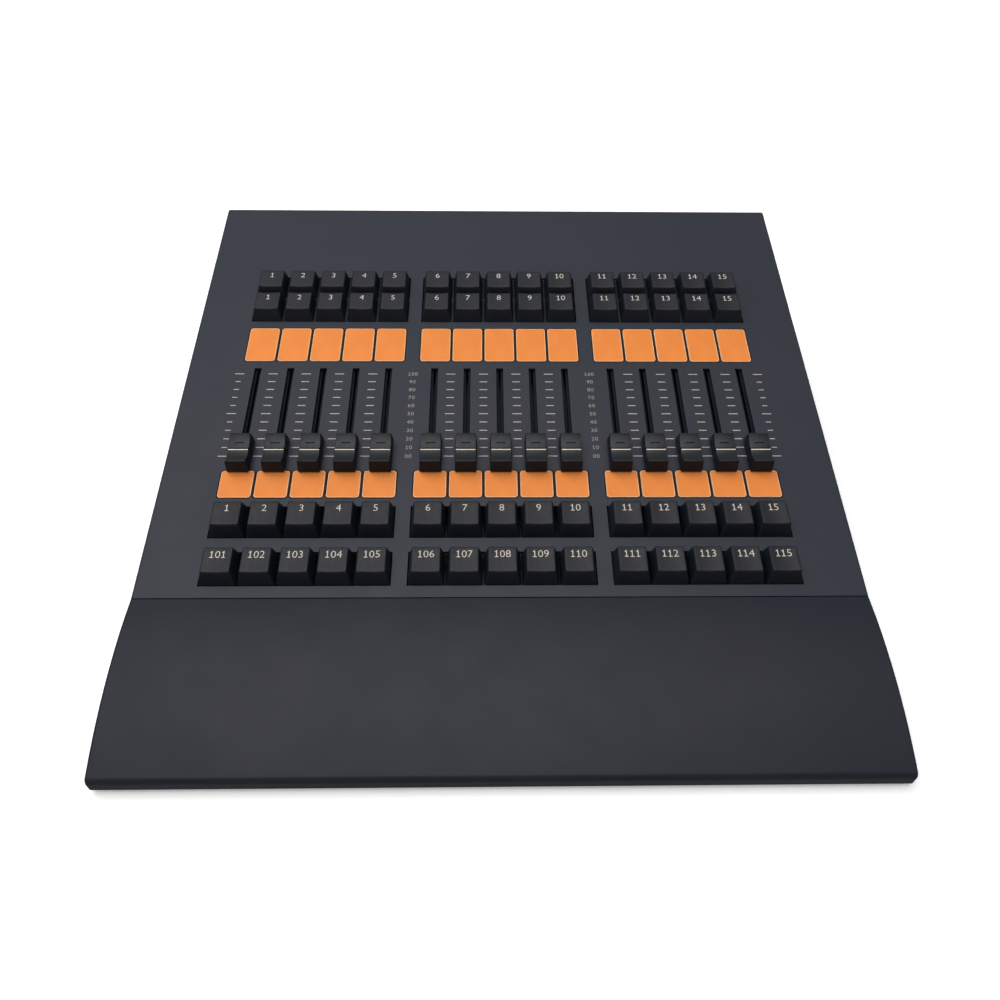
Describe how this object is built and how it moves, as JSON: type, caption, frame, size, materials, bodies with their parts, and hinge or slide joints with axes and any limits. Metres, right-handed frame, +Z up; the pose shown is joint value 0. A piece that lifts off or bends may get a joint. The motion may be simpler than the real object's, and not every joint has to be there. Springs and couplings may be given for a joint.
{
  "type": "lighting control desk",
  "caption": "Wedge-shaped lighting playback desk with sliding faders, numbered keys, orange label windows and a curved palm rest.",
  "frame": {"origin": "centre of the bounding box on the plane that the feet stand on", "axes": "+X to the operator's right, +Y away from the operator towards the sockets, +Z up; the panel slopes down towards -Y at 12 degrees"},
  "size_m": [0.364, 0.367, 0.0868],
  "materials": {
    "case_paint": "fine satin powder coat, dark blue-grey",
    "key_plastic": "satin moulded, near black",
    "cap_plastic": "satin moulded, dark grey",
    "label_orange": "smooth satin, orange",
    "legend_ink": "screen-printed, warm white",
    "foot_rubber": "matt black",
    "plated_steel": "zinc plated",
    "circuit_board": "green solder mask"
  },
  "bodies": {
    "desk": {"upper_case": "case_paint", "palm_rest": "case_paint", "base_plate": "case_paint", "control_board": "circuit_board", "fader_deck": "plated_steel", "lower_label_strip": "label_orange", "upper_label_strip": "label_orange", "rear_connector_board": "circuit_board", "foot_front_left": "foot_rubber", "foot_front_right": "foot_rubber", "foot_rear_left": "foot_rubber", "foot_rear_right": "foot_rubber"},
    "fader_01": {"fader_01": "cap_plastic"},
    "fader_02": {"fader_02": "cap_plastic"},
    "fader_03": {"fader_03": "cap_plastic"},
    "fader_04": {"fader_04": "cap_plastic"},
    "fader_05": {"fader_05": "cap_plastic"},
    "fader_06": {"fader_06": "cap_plastic"},
    "fader_07": {"fader_07": "cap_plastic"},
    "fader_08": {"fader_08": "cap_plastic"},
    "fader_09": {"fader_09": "cap_plastic"},
    "fader_10": {"fader_10": "cap_plastic"},
    "fader_11": {"fader_11": "cap_plastic"},
    "fader_12": {"fader_12": "cap_plastic"},
    "fader_13": {"fader_13": "cap_plastic"},
    "fader_14": {"fader_14": "cap_plastic"},
    "fader_15": {"fader_15": "cap_plastic"},
    "key_01": {"key_01": "key_plastic"},
    "key_02": {"key_02": "key_plastic"},
    "key_03": {"key_03": "key_plastic"},
    "key_04": {"key_04": "key_plastic"},
    "key_05": {"key_05": "key_plastic"},
    "key_06": {"key_06": "key_plastic"},
    "key_07": {"key_07": "key_plastic"},
    "key_08": {"key_08": "key_plastic"},
    "key_09": {"key_09": "key_plastic"},
    "key_10": {"key_10": "key_plastic"},
    "key_11": {"key_11": "key_plastic"},
    "key_12": {"key_12": "key_plastic"},
    "key_13": {"key_13": "key_plastic"},
    "key_14": {"key_14": "key_plastic"},
    "key_15": {"key_15": "key_plastic"},
    "key_101": {"key_101": "key_plastic"},
    "key_102": {"key_102": "key_plastic"},
    "key_103": {"key_103": "key_plastic"},
    "key_104": {"key_104": "key_plastic"},
    "key_105": {"key_105": "key_plastic"},
    "key_106": {"key_106": "key_plastic"},
    "key_107": {"key_107": "key_plastic"},
    "key_108": {"key_108": "key_plastic"},
    "key_109": {"key_109": "key_plastic"},
    "key_110": {"key_110": "key_plastic"},
    "key_111": {"key_111": "key_plastic"},
    "key_112": {"key_112": "key_plastic"},
    "key_113": {"key_113": "key_plastic"},
    "key_114": {"key_114": "key_plastic"},
    "key_115": {"key_115": "key_plastic"},
    "key_bank_left": {"key_bank_left": "key_plastic"},
    "key_bank_middle": {"key_bank_middle": "key_plastic"},
    "key_bank_right": {"key_bank_right": "key_plastic"}
  },
  "joints": [
    {"name": "fader_01_slide", "type": "slide", "parent": "desk", "child": "fader_01", "axis": [0, 0.9781, 0.2079], "range_m": [0, 0.06]},
    {"name": "fader_02_slide", "type": "slide", "parent": "desk", "child": "fader_02", "axis": [0, 0.9781, 0.2079], "range_m": [0, 0.06]},
    {"name": "fader_03_slide", "type": "slide", "parent": "desk", "child": "fader_03", "axis": [0, 0.9781, 0.2079], "range_m": [0, 0.06]},
    {"name": "fader_04_slide", "type": "slide", "parent": "desk", "child": "fader_04", "axis": [0, 0.9781, 0.2079], "range_m": [0, 0.06]},
    {"name": "fader_05_slide", "type": "slide", "parent": "desk", "child": "fader_05", "axis": [0, 0.9781, 0.2079], "range_m": [0, 0.06]},
    {"name": "fader_06_slide", "type": "slide", "parent": "desk", "child": "fader_06", "axis": [0, 0.9781, 0.2079], "range_m": [0, 0.06]},
    {"name": "fader_07_slide", "type": "slide", "parent": "desk", "child": "fader_07", "axis": [0, 0.9781, 0.2079], "range_m": [0, 0.06]},
    {"name": "fader_08_slide", "type": "slide", "parent": "desk", "child": "fader_08", "axis": [0, 0.9781, 0.2079], "range_m": [0, 0.06]},
    {"name": "fader_09_slide", "type": "slide", "parent": "desk", "child": "fader_09", "axis": [0, 0.9781, 0.2079], "range_m": [0, 0.06]},
    {"name": "fader_10_slide", "type": "slide", "parent": "desk", "child": "fader_10", "axis": [0, 0.9781, 0.2079], "range_m": [0, 0.06]},
    {"name": "fader_11_slide", "type": "slide", "parent": "desk", "child": "fader_11", "axis": [0, 0.9781, 0.2079], "range_m": [0, 0.06]},
    {"name": "fader_12_slide", "type": "slide", "parent": "desk", "child": "fader_12", "axis": [0, 0.9781, 0.2079], "range_m": [0, 0.06]},
    {"name": "fader_13_slide", "type": "slide", "parent": "desk", "child": "fader_13", "axis": [0, 0.9781, 0.2079], "range_m": [0, 0.06]},
    {"name": "fader_14_slide", "type": "slide", "parent": "desk", "child": "fader_14", "axis": [0, 0.9781, 0.2079], "range_m": [0, 0.06]},
    {"name": "fader_15_slide", "type": "slide", "parent": "desk", "child": "fader_15", "axis": [0, 0.9781, 0.2079], "range_m": [0, 0.06]},
    {"name": "key_01_press", "type": "slide", "parent": "desk", "child": "key_01", "axis": [0, 0.2079, -0.9781], "range_m": [0, 0.004], "stiffness_N_per_m": 100, "springref_m": -0.002},
    {"name": "key_02_press", "type": "slide", "parent": "desk", "child": "key_02", "axis": [0, 0.2079, -0.9781], "range_m": [0, 0.004], "stiffness_N_per_m": 100, "springref_m": -0.002},
    {"name": "key_03_press", "type": "slide", "parent": "desk", "child": "key_03", "axis": [0, 0.2079, -0.9781], "range_m": [0, 0.004], "stiffness_N_per_m": 100, "springref_m": -0.002},
    {"name": "key_04_press", "type": "slide", "parent": "desk", "child": "key_04", "axis": [0, 0.2079, -0.9781], "range_m": [0, 0.004], "stiffness_N_per_m": 100, "springref_m": -0.002},
    {"name": "key_05_press", "type": "slide", "parent": "desk", "child": "key_05", "axis": [0, 0.2079, -0.9781], "range_m": [0, 0.004], "stiffness_N_per_m": 100, "springref_m": -0.002},
    {"name": "key_06_press", "type": "slide", "parent": "desk", "child": "key_06", "axis": [0, 0.2079, -0.9781], "range_m": [0, 0.004], "stiffness_N_per_m": 100, "springref_m": -0.002},
    {"name": "key_07_press", "type": "slide", "parent": "desk", "child": "key_07", "axis": [0, 0.2079, -0.9781], "range_m": [0, 0.004], "stiffness_N_per_m": 100, "springref_m": -0.002},
    {"name": "key_08_press", "type": "slide", "parent": "desk", "child": "key_08", "axis": [0, 0.2079, -0.9781], "range_m": [0, 0.004], "stiffness_N_per_m": 100, "springref_m": -0.002},
    {"name": "key_09_press", "type": "slide", "parent": "desk", "child": "key_09", "axis": [0, 0.2079, -0.9781], "range_m": [0, 0.004], "stiffness_N_per_m": 100, "springref_m": -0.002},
    {"name": "key_10_press", "type": "slide", "parent": "desk", "child": "key_10", "axis": [0, 0.2079, -0.9781], "range_m": [0, 0.004], "stiffness_N_per_m": 100, "springref_m": -0.002},
    {"name": "key_11_press", "type": "slide", "parent": "desk", "child": "key_11", "axis": [0, 0.2079, -0.9781], "range_m": [0, 0.004], "stiffness_N_per_m": 100, "springref_m": -0.002},
    {"name": "key_12_press", "type": "slide", "parent": "desk", "child": "key_12", "axis": [0, 0.2079, -0.9781], "range_m": [0, 0.004], "stiffness_N_per_m": 100, "springref_m": -0.002},
    {"name": "key_13_press", "type": "slide", "parent": "desk", "child": "key_13", "axis": [0, 0.2079, -0.9781], "range_m": [0, 0.004], "stiffness_N_per_m": 100, "springref_m": -0.002},
    {"name": "key_14_press", "type": "slide", "parent": "desk", "child": "key_14", "axis": [0, 0.2079, -0.9781], "range_m": [0, 0.004], "stiffness_N_per_m": 100, "springref_m": -0.002},
    {"name": "key_15_press", "type": "slide", "parent": "desk", "child": "key_15", "axis": [0, 0.2079, -0.9781], "range_m": [0, 0.004], "stiffness_N_per_m": 100, "springref_m": -0.002},
    {"name": "key_101_press", "type": "slide", "parent": "desk", "child": "key_101", "axis": [0, 0.2079, -0.9781], "range_m": [0, 0.004], "stiffness_N_per_m": 100, "springref_m": -0.002},
    {"name": "key_102_press", "type": "slide", "parent": "desk", "child": "key_102", "axis": [0, 0.2079, -0.9781], "range_m": [0, 0.004], "stiffness_N_per_m": 100, "springref_m": -0.002},
    {"name": "key_103_press", "type": "slide", "parent": "desk", "child": "key_103", "axis": [0, 0.2079, -0.9781], "range_m": [0, 0.004], "stiffness_N_per_m": 100, "springref_m": -0.002},
    {"name": "key_104_press", "type": "slide", "parent": "desk", "child": "key_104", "axis": [0, 0.2079, -0.9781], "range_m": [0, 0.004], "stiffness_N_per_m": 100, "springref_m": -0.002},
    {"name": "key_105_press", "type": "slide", "parent": "desk", "child": "key_105", "axis": [0, 0.2079, -0.9781], "range_m": [0, 0.004], "stiffness_N_per_m": 100, "springref_m": -0.002},
    {"name": "key_106_press", "type": "slide", "parent": "desk", "child": "key_106", "axis": [0, 0.2079, -0.9781], "range_m": [0, 0.004], "stiffness_N_per_m": 100, "springref_m": -0.002},
    {"name": "key_107_press", "type": "slide", "parent": "desk", "child": "key_107", "axis": [0, 0.2079, -0.9781], "range_m": [0, 0.004], "stiffness_N_per_m": 100, "springref_m": -0.002},
    {"name": "key_108_press", "type": "slide", "parent": "desk", "child": "key_108", "axis": [0, 0.2079, -0.9781], "range_m": [0, 0.004], "stiffness_N_per_m": 100, "springref_m": -0.002},
    {"name": "key_109_press", "type": "slide", "parent": "desk", "child": "key_109", "axis": [0, 0.2079, -0.9781], "range_m": [0, 0.004], "stiffness_N_per_m": 100, "springref_m": -0.002},
    {"name": "key_110_press", "type": "slide", "parent": "desk", "child": "key_110", "axis": [0, 0.2079, -0.9781], "range_m": [0, 0.004], "stiffness_N_per_m": 100, "springref_m": -0.002},
    {"name": "key_111_press", "type": "slide", "parent": "desk", "child": "key_111", "axis": [0, 0.2079, -0.9781], "range_m": [0, 0.004], "stiffness_N_per_m": 100, "springref_m": -0.002},
    {"name": "key_112_press", "type": "slide", "parent": "desk", "child": "key_112", "axis": [0, 0.2079, -0.9781], "range_m": [0, 0.004], "stiffness_N_per_m": 100, "springref_m": -0.002},
    {"name": "key_113_press", "type": "slide", "parent": "desk", "child": "key_113", "axis": [0, 0.2079, -0.9781], "range_m": [0, 0.004], "stiffness_N_per_m": 100, "springref_m": -0.002},
    {"name": "key_114_press", "type": "slide", "parent": "desk", "child": "key_114", "axis": [0, 0.2079, -0.9781], "range_m": [0, 0.004], "stiffness_N_per_m": 100, "springref_m": -0.002},
    {"name": "key_115_press", "type": "slide", "parent": "desk", "child": "key_115", "axis": [0, 0.2079, -0.9781], "range_m": [0, 0.004], "stiffness_N_per_m": 100, "springref_m": -0.002},
    {"name": "key_bank_left_press", "type": "slide", "parent": "desk", "child": "key_bank_left", "axis": [0, 0.2079, -0.9781], "range_m": [0, 0.004], "stiffness_N_per_m": 1000, "springref_m": -0.002},
    {"name": "key_bank_middle_press", "type": "slide", "parent": "desk", "child": "key_bank_middle", "axis": [0, 0.2079, -0.9781], "range_m": [0, 0.004], "stiffness_N_per_m": 1000, "springref_m": -0.002},
    {"name": "key_bank_right_press", "type": "slide", "parent": "desk", "child": "key_bank_right", "axis": [0, 0.2079, -0.9781], "range_m": [0, 0.004], "stiffness_N_per_m": 1000, "springref_m": -0.002}
  ]
}
